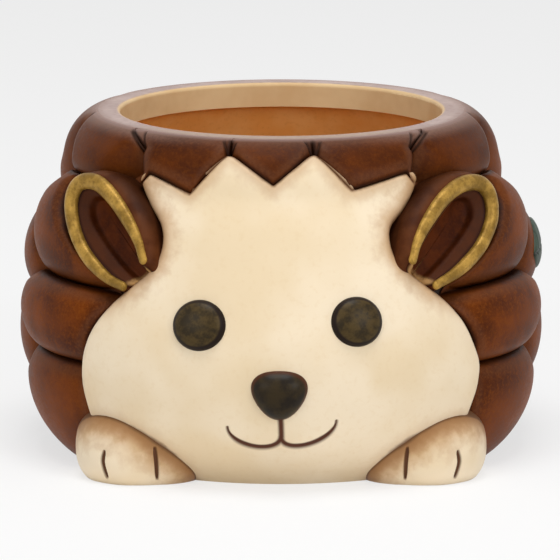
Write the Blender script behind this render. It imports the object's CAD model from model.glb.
import math

import bpy
import numpy as np
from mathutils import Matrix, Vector


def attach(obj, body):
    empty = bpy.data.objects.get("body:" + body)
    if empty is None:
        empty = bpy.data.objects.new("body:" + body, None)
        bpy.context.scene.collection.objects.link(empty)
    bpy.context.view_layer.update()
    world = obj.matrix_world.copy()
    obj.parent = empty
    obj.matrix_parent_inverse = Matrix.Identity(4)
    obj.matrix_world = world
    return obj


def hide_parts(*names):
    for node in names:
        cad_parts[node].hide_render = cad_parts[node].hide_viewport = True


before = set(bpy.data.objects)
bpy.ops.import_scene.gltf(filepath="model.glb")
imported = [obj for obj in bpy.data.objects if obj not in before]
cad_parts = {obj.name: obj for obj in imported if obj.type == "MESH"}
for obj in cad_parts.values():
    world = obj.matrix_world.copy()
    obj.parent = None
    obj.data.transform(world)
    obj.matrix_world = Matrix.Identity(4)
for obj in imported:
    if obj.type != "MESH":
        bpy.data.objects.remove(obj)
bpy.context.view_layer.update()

# A hedgehog planter of hand-painted earthenware. Sizes are in millimetres and azimuths in
# degrees round the pot: 0 at the face (-Y), + to the right. Points turn to metres in put_mesh.
MM = 0.001

# ---------------------------------------------------------------- the pot's driving sizes
POT_HEIGHT = 128.0
MOUTH_RADIUS = 61.5
LIP_RADIUS = 70.0
COLLAR_DEPTH = 9.5
BELLY_RADIUS = 91.5
BELLY_HEIGHT = 50.0
FOOT_RADIUS = 77.0
FLOOR_THICKNESS = 6.5
SHOULDER_ROUND = 14.1
SHOULDER_DROP = 20.0
SHOULDER_POWER = 0.6
QUILL_RELIEF = 12.0
QUILL_BULGE = 20.0
QUILL_FULLNESS = 1.42
# A quill's root lies this deep under its crest, and nothing reaches deeper into the wall than
# the seat. What is in front of the wall clears it by the clearance.
ROOT_DEPTH = 12.6
SEAT_DEPTH = 2.5
WALL_CLEARANCE = 0.5
LONG_SINK = 2.0
CROWN_REACH = 37.0
CROWN_SPREAD = 36.0
CROWN_RISE = 14.0
CROWN_FLARE = 2.5
LONG_CROWN_FLARE = 1.8

FIRST_COLUMN = 61.0
PITCH = (180.0 - FIRST_COLUMN) / 3
SWING = 6.3
UNDERGROUND = -12.0
SHORT_CREASES = [41.0, 72.0, 109.0]
LONG_CREASES = [UNDERGROUND, 19.0, 59.0, 92.0]


# ---------------------------------------------------------------- small helpers
def smooth(x):
    """Smooth step: 3x² - 2x³ between 0 and 1."""
    x = np.clip(x, 0.0, 1.0)
    return x * x * (3 - 2 * x)


def knots(x, pairs):
    """Smooth steps between (place, value) pairs, so the curve is level at each of them."""
    places, values = np.array(pairs, float).T
    x = np.asarray(x, float)
    index = np.clip(np.searchsorted(places, x) - 1, 0, len(places) - 2)
    share = (x - places[index]) / (places[index + 1] - places[index])
    return values[index] + (values[index + 1] - values[index]) * smooth(share)


def flowing(x, pairs):
    """Cubic Hermite curve through (place, value) pairs with the slopes of their neighbours."""
    places, values = np.array(pairs, float).T
    slopes = np.gradient(values, places)
    x = np.clip(np.asarray(x, float), places[0], places[-1])
    index = np.clip(np.searchsorted(places, x) - 1, 0, len(places) - 2)
    step = places[index + 1] - places[index]
    t = (x - places[index]) / step
    start = (1 + 2 * t) * (1 - t) ** 2 * values[index] + t * (1 - t) ** 2 * step * slopes[index]
    end = t * t * (3 - 2 * t) * values[index + 1] + t * t * (t - 1) * step * slopes[index + 1]
    return start + end


def even_cosine(count):
    """Steps from 0 to 1 that crowd towards both ends, as the cosine of even angles does."""
    return (1 - np.cos(np.linspace(0, math.pi, count))) / 2


def crowded(count, density):
    """Steps from 0 to 1 whose spacing is one over a density, a function of 0 to 1."""
    fine = np.linspace(0, 1, 4000)
    total = np.concatenate([[0], np.cumsum(density((fine[1:] + fine[:-1]) / 2))])
    return np.interp(np.linspace(0, total[-1], count), total, fine)


def put_mesh(name, points, faces, material, marks=None, sharp=55.0):
    """Object from an N x 3 array of points in millimetres and a list of face arrays, with one
    number per point for each mark, smooth but for edges sharper than an angle."""
    mesh = bpy.data.meshes.new(name)
    mesh.vertices.add(len(points))
    mesh.vertices.foreach_set("co", (np.asarray(points, float) * MM).ravel())
    corners = np.concatenate([block.ravel() for block in faces])
    sizes = np.concatenate([np.full(len(block), block.shape[1]) for block in faces])
    starts = np.concatenate([[0], np.cumsum(sizes)[:-1]])
    mesh.loops.add(len(corners))
    mesh.loops.foreach_set("vertex_index", corners.astype(np.int32))
    mesh.polygons.add(len(sizes))
    mesh.polygons.foreach_set("loop_start", starts.astype(np.int32))
    mesh.update(calc_edges=True)
    mesh.validate()
    for mark, values in (marks or {}).items():
        layer = mesh.attributes.new(mark, "FLOAT", "POINT")
        layer.data.foreach_set("value", np.asarray(values, np.float32).ravel())
    mesh.shade_smooth()
    mesh.set_sharp_from_angle(angle=math.radians(sharp))
    mesh.materials.append(material)
    piece = bpy.data.objects.new(name, mesh)
    bpy.context.scene.collection.objects.link(piece)
    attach(piece, "root")
    return piece


def grid_faces(rows, columns, start=0, turned=False):
    """Four-cornered faces of a grid of points stored row by row."""
    corner = (np.arange(rows - 1)[:, None] * columns + np.arange(columns - 1)[None, :]).ravel() + start
    faces = np.stack([corner, corner + 1, corner + columns + 1, corner + columns], axis=1)
    return faces[:, ::-1] if turned else faces


def rim_walk(rows, columns):
    """Indices of a grid's outer points in order: along the bottom, up, back, and down."""
    index = np.arange(rows * columns).reshape(rows, columns)
    return np.concatenate([index[0, :-1], index[:-1, -1], index[-1, :0:-1], index[:0:-1, 0]])


def tube_faces(rings, sides):
    """Faces between closed rings of points stored ring by ring."""
    ring = np.arange(rings - 1)[:, None] * sides
    side = np.arange(sides)[None, :]
    following = (side + 1) % sides
    return np.stack([ring + side, ring + following, ring + sides + following, ring + sides + side],
                    axis=2).reshape(-1, 4)


def fan_faces(centre, loop):
    """Three-cornered faces from one point to each step of a closed loop of points."""
    return np.stack([np.full(len(loop), centre), loop, np.roll(loop, -1)], axis=1)


def close_patch(outer, inner_rings):
    """Points and faces of a patch closed behind: the outer grid, a wall from its rim down to
    the first inner ring, the further rings, and one point in their middle."""
    rows, columns = outer.shape[:2]
    points = np.concatenate([outer.reshape(-1, 3)] + inner_rings)
    faces = [grid_faces(rows, columns)]
    loop = rim_walk(rows, columns)
    start = rows * columns
    for ring in inner_rings[:-1]:
        following = start + np.arange(len(ring))
        faces.append(np.stack([np.roll(loop, -1), loop, following, np.roll(following, -1)], axis=1))
        loop = following
        start += len(ring)
    faces.append(fan_faces(start, loop)[:, ::-1])
    return points, faces


def patch_marks(inner_rings, **marks):
    """Marks of a closed patch: each is a grid of values and one value for all points behind."""
    behind = sum(len(ring) for ring in inner_rings)
    return {name: np.concatenate([values.ravel(), np.full(behind, hidden)])
            for name, (values, hidden) in marks.items()}


def curve_through(points, count, closed):
    """Curve through points, each step a cubic whose end slopes are half the way between the
    points before and after."""
    points = np.asarray(points, float)
    steps = len(points) if closed else len(points) - 1
    place = np.linspace(0, steps, count, endpoint=not closed)
    index = np.minimum(place.astype(int), steps - 1)
    t = (place - index)[:, None]
    if closed:
        before, start, end, after = (points[(index + shift) % len(points)] for shift in (-1, 0, 1, 2))
    else:
        first, last = 2 * points[0] - points[1], 2 * points[-1] - points[-2]
        padded = np.concatenate([[first], points, [last]])
        before, start, end, after = (padded[index + shift] for shift in (0, 1, 2, 3))
    return 0.5 * (2 * start + (end - before) * t + (2 * before - 5 * start + 4 * end - after) * t ** 2
                  + (3 * start - before - 3 * end + after) * t ** 3)


def gap_to_path(points, path):
    """Distance from each point to a path of straight steps, and how far along it that is."""
    best = np.full(points.shape[:-1], 1e9)
    where = np.zeros(points.shape[:-1])
    for index in range(len(path) - 1):
        start, run = path[index], path[index + 1] - path[index]
        share = np.clip(((points - start) @ run) / (run @ run), 0, 1)
        gap = np.linalg.norm(points - start - share[..., None] * run, axis=-1)
        nearer = gap < best
        best = np.where(nearer, gap, best)
        where = np.where(nearer, (index + share) / (len(path) - 1), where)
    return best, where


# ---------------------------------------------------------------- the form the quills sit on
def wall_radius(height):
    """The pot's outer radius: one arc from the floor slab to the belly, one on to the lip,
    both centred at belly height."""
    height = np.maximum(np.asarray(height, float), FLOOR_THICKNESS)
    collar_foot = POT_HEIGHT - COLLAR_DEPTH

    def arc(end, end_height):
        rise = end_height - BELLY_HEIGHT
        centre = (BELLY_RADIUS ** 2 - end ** 2 - rise ** 2) / (2 * (BELLY_RADIUS - end))
        radius = BELLY_RADIUS - centre
        return centre + np.sqrt(np.maximum(radius ** 2 - (height - BELLY_HEIGHT) ** 2, 0)), radius

    upper, upper_arc = arc(LIP_RADIUS, collar_foot)
    lower, lower_arc = arc(FOOT_RADIUS, FLOOR_THICKNESS)
    above = height > BELLY_HEIGHT
    lean = (height - BELLY_HEIGHT) / np.where(above, upper_arc, lower_arc)
    return np.where(above, upper, lower), np.sqrt(1 - np.minimum(lean ** 2, 0.999))


def crest_radius(height):
    """Radius of the quills' crest: the wall plus the quills' relief, square to the wall, eased
    into the shoulder, which falls from its fullest to the lip as 1 - rise² to a power."""
    height = np.asarray(height, float)
    radius, upright = wall_radius(height)
    rise = np.clip((height - POT_HEIGHT + SHOULDER_DROP) / SHOULDER_DROP, 0, 1)
    shoulder = LIP_RADIUS + SHOULDER_ROUND * (1 - rise ** 2) ** SHOULDER_POWER
    flank = radius + QUILL_RELIEF * upright
    share = smooth((height - EASE_FROM) / (EASE_TO - EASE_FROM))
    return flank * (1 - share) + shoulder * share


# Heights between which the crest turns from the flank into the shoulder.
EASE_FROM = 96.0
EASE_TO = 114.0
# Even steps of the crest line, and how many of them each way its direction is averaged over.
LINE_STEPS = 1600
LINE_BLUR = 30


def crest_line():
    """The crest's section as arrays: length along it, distance from the axis, height, and
    the two parts of its outward normal."""
    turn = np.linspace(0, math.pi / 2, 900)
    shoulder = POT_HEIGHT - SHOULDER_DROP
    height = np.concatenate([np.linspace(0, shoulder, 900)[:-1], shoulder + SHOULDER_DROP * np.sin(turn)])
    across = crest_radius(height)
    length = np.concatenate([[0], np.cumsum(np.hypot(np.diff(across), np.diff(height)))])
    even = np.linspace(0, length[-1], LINE_STEPS)
    across, height = np.interp(even, length, across), np.interp(even, length, height)
    kernel = np.full(2 * LINE_BLUR + 1, 1 / (2 * LINE_BLUR + 1))
    lean_across, lean_up = (
        np.convolve(np.pad(np.gradient(part, even), LINE_BLUR, mode="edge"), kernel, mode="valid")
        for part in (across, height))
    size = np.hypot(lean_across, lean_up)
    return even, across, height, lean_up / size, -lean_across / size


LINE, LINE_ACROSS, LINE_HEIGHT, LINE_OUT, LINE_UP = crest_line()
LIP_LEVEL = LINE[-1]


def level(height):
    """Length along the crest line at a height."""
    return np.interp(height, LINE_HEIGHT, LINE)


def height_at(along):
    """Height at a length along the crest line."""
    return np.interp(along, LINE, LINE_HEIGHT)


def on_pot(azimuth, along, depth):
    """Points at a depth under the crest: out from the axis by the crest line's own reach."""
    turn = np.radians(azimuth)
    across = np.interp(along, LINE, LINE_ACROSS) - depth * np.interp(along, LINE, LINE_OUT)
    height = np.interp(along, LINE, LINE_HEIGHT) - depth * np.interp(along, LINE, LINE_UP)
    return np.stack([across * np.sin(turn), -across * np.cos(turn), height], axis=-1)


# ---------------------------------------------------------------- the face's outline
LEFT_TIP = -38.8
RIGHT_TIP = 36.6
STAR = [(LEFT_TIP, 110.6), (-36.2, 114.4), (-23.9, 108.8), (-14.1, 123.2), (-2.0, 113.1),
        (8.8, 123.6), (18.4, 110.5), (34.4, 115.0), (RIGHT_TIP, 111.2)]
STAR_PEAK_ROUND = 0.17
LEFT_CHEEK = [(0, -43.0), (15, -45.2), (26, -46.0), (40, -46.7), (50, -46.0), (57, -44.5), (67.7, -40.0),
              (75, -35.4), (82, -31.0), (90, -29.4), (98, -31.2), (104, -35.6), (108.9, LEFT_TIP),
              (128, LEFT_TIP)]
RIGHT_CHEEK = [(0, 42.0), (15, 43.8), (26, 44.8), (36, 46.1), (44, 46.4), (51.4, 45.1), (62.9, 41.9),
               (71.1, 37.6), (78, 32.4), (84.4, 28.5), (91.5, 27.0), (97.6, 28.2), (103, 33.0),
               (107.8, RIGHT_TIP), (128, RIGHT_TIP)]


def left_edge_of_face(height):
    """Azimuth of the face's left edge at a height."""
    return flowing(height, LEFT_CHEEK)


def right_edge_of_face(height):
    """Azimuth of the face's right edge at a height."""
    return flowing(height, RIGHT_CHEEK)


def star_height(azimuth):
    """Height of the star edge: straight flanks from sharp valleys up to rounded peaks. Near a
    peak the flank turns level as one branch of a hyperbola does."""
    places, heights = np.array(STAR, float).T
    azimuth = np.clip(np.asarray(azimuth, float), places[0], places[-1])
    index = np.clip(np.searchsorted(places, azimuth) - 1, 0, len(places) - 2)
    share = (azimuth - places[index]) / (places[index + 1] - places[index])
    rising = heights[index + 1] > heights[index]
    from_valley = np.where(rising, share, 1 - share)
    low = np.minimum(heights[index], heights[index + 1])
    tall = np.abs(heights[index + 1] - heights[index])
    soft = STAR_PEAK_ROUND
    climb = math.sqrt(1 + soft ** 2) - np.sqrt((1 - from_valley) ** 2 + soft ** 2)
    return low + tall * climb / (math.sqrt(1 + soft ** 2) - soft)


# ---------------------------------------------------------------- quills
def zigzag(along, middle, short_side):
    """Azimuth of the edge between two columns. Beside a short column's creases it swings to
    that column's side, and beside a long column's creases the other way."""
    pairs = []
    for creases, swing in ((SHORT_CREASES, short_side * SWING), (LONG_CREASES, -short_side * SWING)):
        pairs += [(level(max(height, 0.0)) + min(height, 0.0), swing) for height in creases]
    return middle + knots(along, sorted(pairs) + [(LIP_LEVEL, 0.0)])


EDGE_1 = FIRST_COLUMN + PITCH / 2
EDGE_2 = EDGE_1 + PITCH
EDGE_3 = EDGE_2 + PITCH
# Degrees by which the first of them flares backwards at the lip, and the height it does so from.
FLARE = 3.5
FLARE_FOOT = 112.0


def edge_1(along):
    """Between the first and the second column; it flares backwards at the lip."""
    from_foot = along - level(FLARE_FOOT)
    return zigzag(along, EDGE_1, -1) + FLARE * smooth(from_foot / (LIP_LEVEL - level(FLARE_FOOT)))


def edge_2(along):
    """Between the second and the third column."""
    return zigzag(along, EDGE_2, 1)


def edge_3(along):
    """Between the third column and the one at the back."""
    return zigzag(along, EDGE_3, -1)


def roll(share, fullness):
    """A form's rise from its edge at share 0 to its full height at share 1: the quarter turn
    of a rounded form, 1 - (1 - share) to a power, square-rooted."""
    return np.sqrt(np.clip(1 - (1 - np.clip(share, 0, 1)) ** fullness, 0, 1))


class Pillow:
    """Ellipsoid that lies on the pot: a centre, three directions and three half-sizes."""

    def __init__(self, azimuth, rise, centre_reach, centre_height, halves):
        turn, rise = math.radians(azimuth), math.radians(rise)
        round_pot = np.array([math.sin(turn), -math.cos(turn), 0.0])
        upright = np.array([0.0, 0.0, 1.0])
        self.centre = round_pot * centre_reach + upright * centre_height
        self.halves = np.array(halves)
        self.axes = np.array([
            round_pot * math.cos(rise) + upright * math.sin(rise),
            [math.cos(turn), math.sin(turn), 0.0],
            upright * math.cos(rise) - round_pot * math.sin(rise),
        ])

    def depth(self, points, inwards):
        """Distance along a direction from points to the ellipsoid. A line that misses it
        takes its nearest place instead."""
        start = ((points - self.centre) @ self.axes.T) / self.halves
        step = (inwards @ self.axes.T) / self.halves
        square = np.sum(step ** 2, axis=-1)
        mixed = np.sum(step * start, axis=-1)
        rest = np.sum(start ** 2, axis=-1) - 1
        inside = mixed ** 2 - square * rest
        missed = np.sqrt(np.maximum(-inside, 0)) / square
        return (-mixed - np.sqrt(np.maximum(inside, 0))) / square + missed


def flank_pillow(azimuth, low, high, sink, growth=0.0):
    """Pillow of a quill on the flank, square on the wall between two heights."""
    middle = (max(low, 0.0) + high) / 2
    surface, upright = (float(value) for value in wall_radius(middle))
    rise = math.degrees(math.acos(upright)) * (1 if middle > BELLY_HEIGHT else -1)
    outwards = QUILL_RELIEF - QUILL_BULGE - sink
    width = (BELLY_RADIUS + QUILL_RELIEF) * math.sin(math.radians(PITCH / 2 + SWING / 2))
    tall = (high - middle) * QUILL_FULLNESS
    return Pillow(azimuth, rise, surface + outwards * math.cos(math.radians(rise)),
                  middle + outwards * math.sin(math.radians(rise)),
                  (QUILL_BULGE + growth, width + growth, tall + growth))


def crown_pillow(azimuth, width, low):
    """Pillow of a crown quill, upright, fullest at a third of its height."""
    drop = POT_HEIGHT - low
    fullest = low + drop / 3
    if low == LONG_CREASES[-1]:
        front = LIP_RADIUS + SHOULDER_ROUND + LONG_CROWN_FLARE
    else:
        front = float(crest_radius(fullest)) + CROWN_FLARE
    return Pillow(azimuth, 0.0, front - CROWN_REACH, fullest,
                  (CROWN_REACH, CROWN_SPREAD * width / PITCH, CROWN_RISE + drop * 0.7))


# The power by which rolls are added, and how far below the lip a crown quill's fade out.
ROLL_POWER = 2.2
LIP_FADE = 9.0


class QuillShape:
    """Where a quill lies and how deep its surface is under the crest.

    left and right give azimuths along the pot, low and high give the two other edges for a
    share across. Each edge is rolled over by a depth and a width in mm."""

    def __init__(self, left, right, low, high, pillow, rolls, floor=None, crown=False):
        self.left = left
        self.right = right
        self.low = low
        self.high = high
        self.pillow = pillow
        self.rolls = rolls
        self.floor = floor
        self.crown = crown

    def place(self, across, up):
        """Azimuth and length along the crest line of a place given by its shares."""
        along = self.low(across) * (1 - up) + self.high(across) * up
        return self.left(along) * (1 - across) + self.right(along) * across, along

    def shares(self, azimuth, along):
        """How far across and how far up the quill a place is."""
        left, right = self.left(along), self.right(along)
        across = (azimuth - left) / (right - left)
        low, high = self.low(across), self.high(across)
        return across, (along - low) / (high - low)

    def gaps(self, along, across, up):
        """Distance in mm to the left, right, low and high edge."""
        reach = np.interp(along, LINE, LINE_ACROSS) * math.pi / 180
        width = (self.right(along) - self.left(along)) * reach
        tall = self.high(across) - self.low(across)
        return across * width, (1 - across) * width, up * tall, (1 - up) * tall

    def depth(self, azimuth, along):
        """Depth under the crest line: the pillow's, plus the four edges' rolls, added as
        powers so that each fades into the next without a ridge. A crown quill's pillow is
        kept under the crest as one branch of a hyperbola is, and its rolls fade at the lip."""
        across, up = self.shares(azimuth, along)
        crest = on_pot(azimuth, along, np.zeros_like(along))
        inwards = on_pot(azimuth, along, np.ones_like(along)) - crest
        under = self.pillow.depth(crest, inwards)
        fade = 1.0
        if self.crown:
            under = (under + np.sqrt(under ** 2 + 1.0)) / 2
            fade = smooth((LIP_LEVEL - along) / LIP_FADE)
        total = np.zeros_like(along)
        for gap, (depth, width) in zip(self.gaps(along, across, up), self.rolls):
            total = total + (depth * (1 - roll(gap / width, 2.0))) ** ROLL_POWER
        return under + fade * total ** (1 / ROLL_POWER)


def level_edge(height):
    """Edge that keeps one height, or one length along the crest line where it is underground."""
    along = height if height < 0 else float(level(height))
    return lambda across: np.full_like(np.asarray(across, float), along)


def mirrored_edge(edge):
    """The same edge on the other side of the pot."""
    return lambda along: -edge(along)


def kept_out(points, height, least):
    """Points at a new height, moved out from the axis where they are nearer to it than least."""
    reach = np.hypot(points[..., 0], points[..., 1])
    grown = np.maximum(reach, least) / reach
    return np.stack([points[..., 0] * grown, points[..., 1] * grown, height], axis=-1)


def clear_of_wall(points):
    """Points kept a little outside the wall and the collar, and above the ground."""
    height = np.clip(points[..., 2], 0.0, POT_HEIGHT)
    wall = np.where(height > POT_HEIGHT - COLLAR_DEPTH, LIP_RADIUS, wall_radius(height)[0])
    return kept_out(points, height, wall + WALL_CLEARANCE * smooth((POT_HEIGHT - height) / 3.0))


def seated_in_wall(points):
    """Points kept within the thickness of the wall or the collar, so none shows inside."""
    height = np.clip(points[..., 2], 1.0, POT_HEIGHT - 1.0)
    wall = np.where(height > POT_HEIGHT - COLLAR_DEPTH - 3.0, LIP_RADIUS, wall_radius(height)[0])
    return kept_out(points, height, wall - SEAT_DEPTH)


def build_quill(name, shape, material, rows, columns, grooves):
    """Quill as a patch on the pot: a grid of shares across and up, sunk by the shape's depth
    and by fine grooves, closed behind against the wall."""
    across, up = np.meshgrid(even_cosine(columns), even_cosine(rows))
    if shape.floor is not None:
        bottom = shape.low(across)
        first = (shape.floor - bottom) / (shape.high(across) - bottom)
        up = first + (1 - first) * up
    azimuth, along = shape.place(across, up)
    depth = shape.depth(azimuth, along)
    line = np.zeros_like(depth)
    for groove in grooves:
        gap = groove_gap(azimuth, along, groove)
        line = np.maximum(line, np.exp(-(gap / PINCH_WIDTH) ** 2))
    depth = depth + PINCH_DEPTH * line
    outer = clear_of_wall(on_pot(azimuth, along, depth))
    rim = rim_walk(rows, columns)
    middle_azimuth, middle_along = shape.place(np.array([0.5]), np.array([0.5]))
    rings = []
    for share in (0.0, 0.33, 0.66):
        ring_azimuth = azimuth.ravel()[rim] * (1 - share) + middle_azimuth * share
        ring_along = along.ravel()[rim] * (1 - share) + middle_along * share
        rings.append(seated_in_wall(on_pot(ring_azimuth, ring_along, ROOT_DEPTH)))
    rings.append(seated_in_wall(on_pot(middle_azimuth, middle_along, ROOT_DEPTH)))
    points, faces = close_patch(outer, rings)
    edge = np.min(shape.gaps(along, across, up), axis=0)
    marks = patch_marks(rings, edge=(edge, 0.0), to_lip=(LIP_LEVEL - along, 30.0), line=(line, 0.0))
    piece = put_mesh(name, points, faces, material, marks)
    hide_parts(name)


# Half-width and depth in mm of a pinch's groove.
PINCH_WIDTH = 0.65
PINCH_DEPTH = 0.9
# The short pinches where the crown's creases fork at the lip, as (azimuth, height) ends.
PINCHES = {
    "left_outer": [(-50.6, 127.5, -41.6, 123.2), (-44.6, 127.6, -41.2, 123.4)],
    "left_inner": [(-16.9, 127.4, -14.9, 124.0), (-13.3, 127.0, -14.4, 124.4)],
    "right_inner": [(7.2, 127.5, 8.6, 124.2), (11.4, 127.4, 10.0, 124.4)],
    "right_outer": [(42.2, 127.6, 38.8, 124.0), (48.3, 127.3, 40.2, 123.6)],
}


def groove_gap(azimuth, along, groove):
    """Distance in mm from a straight groove, measured on the crest."""
    start_azimuth, start_height, end_azimuth, end_height = groove
    reach = np.interp(along, LINE, LINE_ACROSS) * math.pi / 180
    x = (azimuth - start_azimuth) * reach
    y = along - level(start_height)
    run = (end_azimuth - start_azimuth) * reach
    climb = level(end_height) - level(start_height)
    share = np.clip((x * run + y * climb) / (run ** 2 + climb ** 2), 0, 1)
    return np.hypot(x - share * run, y - share * climb)


# Height from which the star edge is looked for, and how many steps it takes.
STAR_MIDDLE = 115.0
STAR_STEPS = 6


def star_edge(left, right):
    """Low edge of a crown quill over the face: the star edge, found by stepping towards the
    place where the share across meets it."""
    def edge(across):
        along = np.full_like(np.asarray(across, float), level(STAR_MIDDLE))
        for _ in range(STAR_STEPS):
            azimuth = left(along) * (1 - across) + right(along) * across
            along = level(star_height(azimuth))
        return along
    return edge


def left_star_end(along):
    """Crease from the lip down to the face's left tip."""
    return knots(along, [(level(109.0), -42.0), (level(114.0), -39.4), (level(123.3), -41.4),
                         (LIP_LEVEL, -50.6)])


def right_star_end(along):
    """Crease from the lip down to the face's right tip."""
    return knots(along, [(level(109.0), 40.0), (level(114.0), 37.2), (level(123.8), 39.5),
                         (LIP_LEVEL, 48.3)])


def straight(azimuth):
    """Edge that keeps one azimuth."""
    return lambda along: np.full_like(np.asarray(along, float), azimuth)


def lip_edge(across):
    """The crown's high edge, on the lip."""
    return np.full_like(np.asarray(across, float), LIP_LEVEL)


def build_column_shapes(column, azimuth, left, right, creases, sink, side_rolls):
    """Shapes of a column's low, middle and high quill, by name."""
    levels = [UNDERGROUND] + [height for height in creases if height > 0]
    rows = (("low", LOW_ROW_GROWTH, LEVEL_ROLL, 0.0), ("middle", 0.0, LEVEL_ROLL, None),
            ("high", 0.0, TOP_ROLL, None))
    shapes = {}
    for row, (row_name, growth, high_roll, floor) in enumerate(rows):
        low, high = levels[row], levels[row + 1]
        shapes["%s_%s" % (column, row_name)] = QuillShape(
            left, right, level_edge(low), level_edge(high), flank_pillow(azimuth, low, high, sink, growth),
            side_rolls[row] + (LEVEL_ROLL, high_roll), floor=floor)
    return shapes


# Depth and width in mm of the rolls at upright creases, level creases, and against the face.
SIDE_ROLL = (3.4, 6.5)
LEVEL_ROLL = (2.6, 6.0)
TOP_ROLL = (0.8, 4.0)
FACE_ROLL = (1.8, 4.0)
EAR_ROLL = (5.0, 6.0)
STAR_ROLL = (1.4, 2.6)
PINCH_ROLL = (1.2, 2.6)
TIP_ROLL = (3.2, 7.0)
NO_ROLL = (0.0, 1.0)
# The low row's pillows are larger by this much in every direction.
LOW_ROW_GROWTH = 1.2
# Azimuths of the two creases of the crown over the face.
LEFT_VALLEY = -14.7
RIGHT_VALLEY = 9.2

# Azimuth of the outer side of the ears at heights on the quills.
EAR_SIDE = [(60, 39.0), (71.2, 38.4), (75.3, 42.6), (81.5, 49.2), (87.6, 55.5), (94.0, 61.0), (101.0, 65.0),
            (105.7, 65.2), (110.0, 60.3), (115, 50)]
CHEEK_SIDE = [(0, 42.0), (15, 44.6), (26, 45.4), (40, 46.4), (50, 45.8), (57, 44.0), (64, 41.4), (72, 38.0)]


def face_side(along):
    """Inner edge of the first column on the right below the ear: along the cheek."""
    return flowing(height_at(along), CHEEK_SIDE)


def ear_side(along):
    """Inner edge of the first column's high quill on the right: along the ear."""
    return flowing(height_at(along), EAR_SIDE)


def back_left(along):
    """The back column's edge on the pot's left, its azimuth counted on past 180."""
    return 360 - edge_3(along)


def build_quills(material):
    """All the quills, in columns from the face round to the back."""
    shapes = {}
    plain = [(SIDE_ROLL, SIDE_ROLL)] * 3
    by_face = [(FACE_ROLL, SIDE_ROLL), (FACE_ROLL, SIDE_ROLL), (EAR_ROLL, SIDE_ROLL)]
    by_face_left = [(right, left) for left, right in by_face]
    first, second, third = (FIRST_COLUMN + number * PITCH for number in range(3))
    left_1, left_2, left_3 = (mirrored_edge(edge) for edge in (edge_1, edge_2, edge_3))
    flanks = [
        ("right_1", first, face_side, edge_1, SHORT_CREASES, 0.0, by_face),
        ("left_1", -first, left_1, mirrored_edge(face_side), SHORT_CREASES, 0.0, by_face_left),
        ("right_2", second, edge_1, edge_2, LONG_CREASES, LONG_SINK, plain),
        ("left_2", -second, left_2, left_1, LONG_CREASES, LONG_SINK, plain),
        ("right_3", third, edge_2, edge_3, SHORT_CREASES, 0.0, plain),
        ("left_3", -third, left_3, left_2, SHORT_CREASES, 0.0, plain),
        ("back", 180.0, edge_3, back_left, LONG_CREASES, LONG_SINK, plain),
    ]
    for column in flanks:
        shapes.update(build_column_shapes(*column))
    shapes["right_1_high"].left = ear_side
    shapes["left_1_high"].right = mirrored_edge(ear_side)

    # Each crown quill's sides, the height of its low edge (none over the face, where that is
    # the star edge), its azimuth, its width, the height of its foot and its rolls.
    left_valley, right_valley = straight(LEFT_VALLEY), straight(RIGHT_VALLEY)
    short, long = SHORT_CREASES[-1], LONG_CREASES[-1]
    plain_crown = (SIDE_ROLL, SIDE_ROLL, LEVEL_ROLL, NO_ROLL)
    crown = [
        ("front_left", left_star_end, left_valley, None, -31.0, 35.0, short,
         (TIP_ROLL, PINCH_ROLL, STAR_ROLL, NO_ROLL)),
        ("front_middle", left_valley, right_valley, None, -2.6, 24.0, short,
         (PINCH_ROLL, PINCH_ROLL, STAR_ROLL, NO_ROLL)),
        ("front_right", right_valley, right_star_end, None, 27.0, 35.0, short,
         (PINCH_ROLL, TIP_ROLL, STAR_ROLL, NO_ROLL)),
        ("right_1", right_star_end, edge_1, short, 63.0, 41.0, short,
         (TIP_ROLL, SIDE_ROLL, LEVEL_ROLL, NO_ROLL)),
        ("left_1", left_1, left_star_end, short, -65.0, 37.0, short,
         (SIDE_ROLL, TIP_ROLL, LEVEL_ROLL, NO_ROLL)),
        ("right_2", edge_1, edge_2, long, second, PITCH, long, plain_crown),
        ("left_2", left_2, left_1, long, -second, PITCH, long, plain_crown),
        ("right_3", edge_2, edge_3, short, third, PITCH, short, plain_crown),
        ("left_3", left_3, left_2, short, -third, PITCH, short, plain_crown),
        ("back", edge_3, back_left, long, 180.0, PITCH, long, plain_crown),
    ]
    for place, left, right, low, azimuth, width, foot, rolls in crown:
        low_edge = star_edge(left, right) if low is None else level_edge(low)
        shapes["crown_" + place] = QuillShape(left, right, low_edge, lip_edge,
                                              crown_pillow(azimuth, width, foot), rolls, crown=True)

    pinched = {
        "crown_front_left": PINCHES["left_outer"] + PINCHES["left_inner"],
        "crown_front_middle": PINCHES["left_inner"] + PINCHES["right_inner"],
        "crown_front_right": PINCHES["right_inner"] + PINCHES["right_outer"],
        "crown_left_1": PINCHES["left_outer"],
        "crown_right_1": PINCHES["right_outer"],
    }
    for name, shape in shapes.items():
        rows, columns = (110, 220) if name in pinched else (80, 90)
        build_quill("quill_" + name, shape, material, rows, columns, pinched.get(name, ()))
    return shapes


# ---------------------------------------------------------------- face
# The face's front as (height, radius).
FACE_SECTION = [(0, 82.0), (8, 90.6), (19, 99.0), (30, 102.8), (42, 104.0), (56, 102.6), (70, 98.8),
                (84, 94.0), (96, 89.4), (108, 84.0), (114, 82.6), (120, 80.6), (124, 78.0)]
# Width and depth in mm of the face's rounded edges, at the cheeks and at the star.
FACE_EDGE_ROUND = 4.2
FACE_EDGE_DEPTH = 3.4
STAR_EDGE_ROUND = 2.2
STAR_EDGE_DEPTH = 1.4
# How deep the face's back lies under its front, and the azimuth and height of its middle.
FACE_ROOT = 12.0
FACE_MIDDLE = (0.0, 60.0)
# Half-width and depth in mm of the mouth's groove, and the share of a side from which it narrows.
MOUTH_WIDTH = 0.78
MOUTH_DEPTH = 0.6
MOUTH_NARROWS = 0.62


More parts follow.
